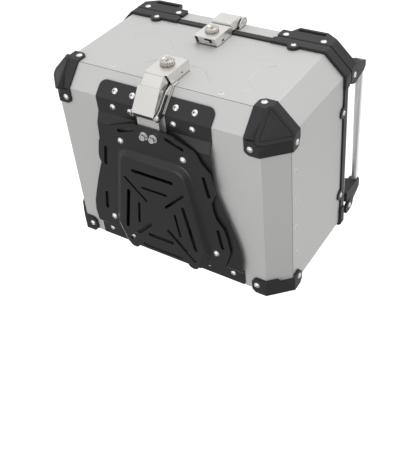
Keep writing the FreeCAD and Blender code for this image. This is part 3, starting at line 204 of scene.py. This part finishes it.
# ---------------------------------------------------------------- materials
FINE_DETAIL = 3.0
BROAD_DETAIL = 4.0
NOISE_ROUGHNESS = 0.55
NOISE_RANGE = (0.3, 0.7)
GLOSS_VARIATION = 0.12
# painted shade: ambient occlusion samples, the occlusion range that maps to full shade, and the near-black
# shade colour for holes and narrow gaps
PAINTED_SHADE_SAMPLES = 8
PAINTED_SHADE_RANGE = (0.42, 0.80)
PAINTED_SHADE = (0.01, 0.01, 0.01, 1.0)
# where a look gives a reach, painted shade darkens its colour in holes and narrow gaps within that distance
LOOKS = {
    "case_aluminium": dict(tint=(0.602, 0.600, 0.592), metallic=0.30, rough=0.50, grain=1100,
                           relief=0.02 * MM, stretch=(1, 1, 0.30), vary=0.035, blotch=7.0, shade_reach=3.0 * MM),
    "rail_aluminium": dict(tint=(0.86, 0.86, 0.855), metallic=0.75, rough=0.32, grain=1500,
                           relief=0.01 * MM, stretch=(1, 0.05, 1)),
    "black_plastic": dict(tint=(0.0195, 0.0200, 0.0215), metallic=0.0, rough=0.50, grain=2600,
                          relief=0.05 * MM, vary=0.18, gloss=0.42),
    "black_aluminium": dict(tint=(0.0115, 0.0120, 0.0130), metallic=0.0, rough=0.44, grain=1600,
                            relief=0.02 * MM, vary=0.15, gloss=0.45),
    "black_steel": dict(tint=(0.0150, 0.0155, 0.0170), metallic=0.0, rough=0.32, grain=900,
                        relief=0.03 * MM, vary=0.15),
    "rubber": dict(tint=(0.012, 0.012, 0.012), metallic=0.0, rough=0.75, grain=1800,
                   relief=0.05 * MM, vary=0.15, gloss=0.3),
    "rivet_silver": dict(tint=(0.90, 0.90, 0.89), metallic=0.9, rough=0.36, grain=1200,
                         relief=0.02 * MM, shade_reach=2.2 * MM),
    "flush_aluminium": dict(tint=(0.70, 0.70, 0.69), metallic=0.35, rough=0.42, grain=1200,
                            relief=0.02 * MM, shade_reach=0.8 * MM),
    "zinc_steel": dict(tint=(0.90, 0.90, 0.89), metallic=0.9, rough=0.30, grain=1000,
                       relief=0.02 * MM, shade_reach=1.2 * MM),
    "latch_steel": dict(tint=(0.81, 0.795, 0.77), metallic=0.9, rough=0.33, grain=1900,
                        relief=0.03 * MM, stretch=(1, 0.06, 0.06), vary=0.06, shade_reach=2.0 * MM),
    "lock_chrome": dict(tint=(0.70, 0.67, 0.61), metallic=1.0, rough=0.14, grain=600,
                        relief=0.01 * MM, shade_reach=3.0 * MM),
    "polished_steel": dict(tint=(0.80, 0.79, 0.77), metallic=1.0, rough=0.15, grain=900,
                           relief=0.01 * MM, shade_reach=2.5 * MM),
}
OWN_LOOK = {
    "base_bracket": "polished_steel", "lid_bracket": "polished_steel", "lever_pin": "polished_steel",
    "hasp_pin": "polished_steel", "pan_rivets": "flush_aluminium",
}


def noise(nodes, links, vector, scale, detail):
    """A noise texture in metres, from a mapped position."""
    tex = nodes.new("ShaderNodeTexNoise")
    tex.inputs["Scale"].default_value = scale
    tex.inputs["Detail"].default_value = detail
    tex.inputs["Roughness"].default_value = NOISE_ROUGHNESS
    links.new(vector, tex.inputs["Vector"])
    return tex.outputs["Fac"]


def painted_crevice_shade(nodes, links, colour, reach):
    """Painted shade: darkens a colour inside holes and narrow gaps, by ambient occlusion."""
    near = nodes.new("ShaderNodeAmbientOcclusion")
    near.samples = PAINTED_SHADE_SAMPLES
    near.inputs["Distance"].default_value = reach
    blend = nodes.new("ShaderNodeMix")
    blend.data_type = "RGBA"
    blend.inputs["A"].default_value = PAINTED_SHADE
    links.new(carried(nodes, links, near.outputs["AO"], PAINTED_SHADE_RANGE, (0.0, 1.0)), blend.inputs["Factor"])
    links.new(colour, blend.inputs["B"])
    return blend.outputs["Result"]


def surface(name, tint, metallic, rough, grain, relief, stretch=(1, 1, 1), vary=0.05, blotch=9.0,
            gloss=0.5, shade_reach=0.0):
    """A material with fine grain, broad variation of colour, and gloss that varies with both; where a reach
    is given, painted shade darkens it in holes and narrow gaps.
    """
    mat, nodes, links, bsdf = new_material(name)
    bsdf.inputs["Metallic"].default_value = metallic
    bsdf.inputs["Specular IOR Level"].default_value = gloss
    place = nodes.new("ShaderNodeTexCoord").outputs["Object"]
    mapping = nodes.new("ShaderNodeMapping")
    mapping.inputs["Scale"].default_value = stretch
    links.new(place, mapping.inputs["Vector"])
    fine = noise(nodes, links, mapping.outputs["Vector"], grain, FINE_DETAIL)
    broad = noise(nodes, links, place, blotch, BROAD_DETAIL)
    both = nodes.new("ShaderNodeMix")
    both.inputs["Factor"].default_value = 0.5
    links.new(fine, both.inputs["A"])
    links.new(broad, both.inputs["B"])
    mixed = both.outputs["Result"]
    shade = nodes.new("ShaderNodeMix")
    shade.data_type = "RGBA"
    shade.inputs["A"].default_value = [c * (1 - vary) for c in tint] + [1.0]
    shade.inputs["B"].default_value = [min(1.0, c * (1 + vary)) for c in tint] + [1.0]
    links.new(carried(nodes, links, mixed, NOISE_RANGE, (0.0, 1.0)), shade.inputs["Factor"])
    colour = shade.outputs["Result"]
    # painted shade: darker colour in holes and narrow gaps, from ambient occlusion
    if shade_reach:
        colour = painted_crevice_shade(nodes, links, colour, shade_reach)
    links.new(colour, bsdf.inputs["Base Color"])
    rough_range = (rough * (1 - GLOSS_VARIATION), rough * (1 + GLOSS_VARIATION))
    links.new(carried(nodes, links, mixed, NOISE_RANGE, rough_range), bsdf.inputs["Roughness"])
    bump = nodes.new("ShaderNodeBump")
    bump.inputs["Strength"].default_value = 1.0
    bump.inputs["Distance"].default_value = relief
    links.new(fine, bump.inputs["Height"])
    links.new(bump.outputs["Normal"], bsdf.inputs["Normal"])
    return mat


# ---------------------------------------------------------------- edges
EDGE_WIDTH = {
    "case_aluminium": 0.9 * MM, "rail_aluminium": 0.3 * MM, "black_plastic": 0.9 * MM,
    "black_aluminium": 0.5 * MM, "black_steel": 0.7 * MM, "rubber": 0.4 * MM,
    "latch_steel": 0.55 * MM, "lock_chrome": 0.3 * MM,
}
EDGE_SEGMENTS = 3
SHARP_ANGLE = math.radians(25)
FLAT_ANGLE = math.radians(0.6)
SAME_POINT = 0.002 * MM


def round_edges(node, width):
    """Softens a node's sharp edges, as folds, moulds and deburring leave them."""
    weld = node.modifiers.new("weld", "WELD")
    weld.merge_threshold = SAME_POINT
    flat = node.modifiers.new("flat", "DECIMATE")
    flat.decimate_type = "DISSOLVE"
    flat.angle_limit = FLAT_ANGLE
    bevel = node.modifiers.new("round", "BEVEL")
    bevel.width = width
    bevel.segments = EDGE_SEGMENTS
    bevel.limit_method = "ANGLE"
    bevel.angle_limit = SHARP_ANGLE
    bevel.use_clamp_overlap = True
    bevel.harden_normals = True


def finish_nodes():
    """Gives every CAD node its look, and rounds the edges of those whose material has a width."""
    looks = {name: surface(name + "_look", **facts) for name, facts in LOOKS.items()}
    for part in frame["record"]["subparts"]:
        node = frame["nodes"][part["node"]]
        look = OWN_LOOK.get(part["node"], part["material_slot"])
        for material_slot in node.material_slots:
            material_slot.material = looks[look]
        if part["material_slot"] in EDGE_WIDTH:
            round_edges(node, EDGE_WIDTH[part["material_slot"]])


build_studio()
finish_nodes()
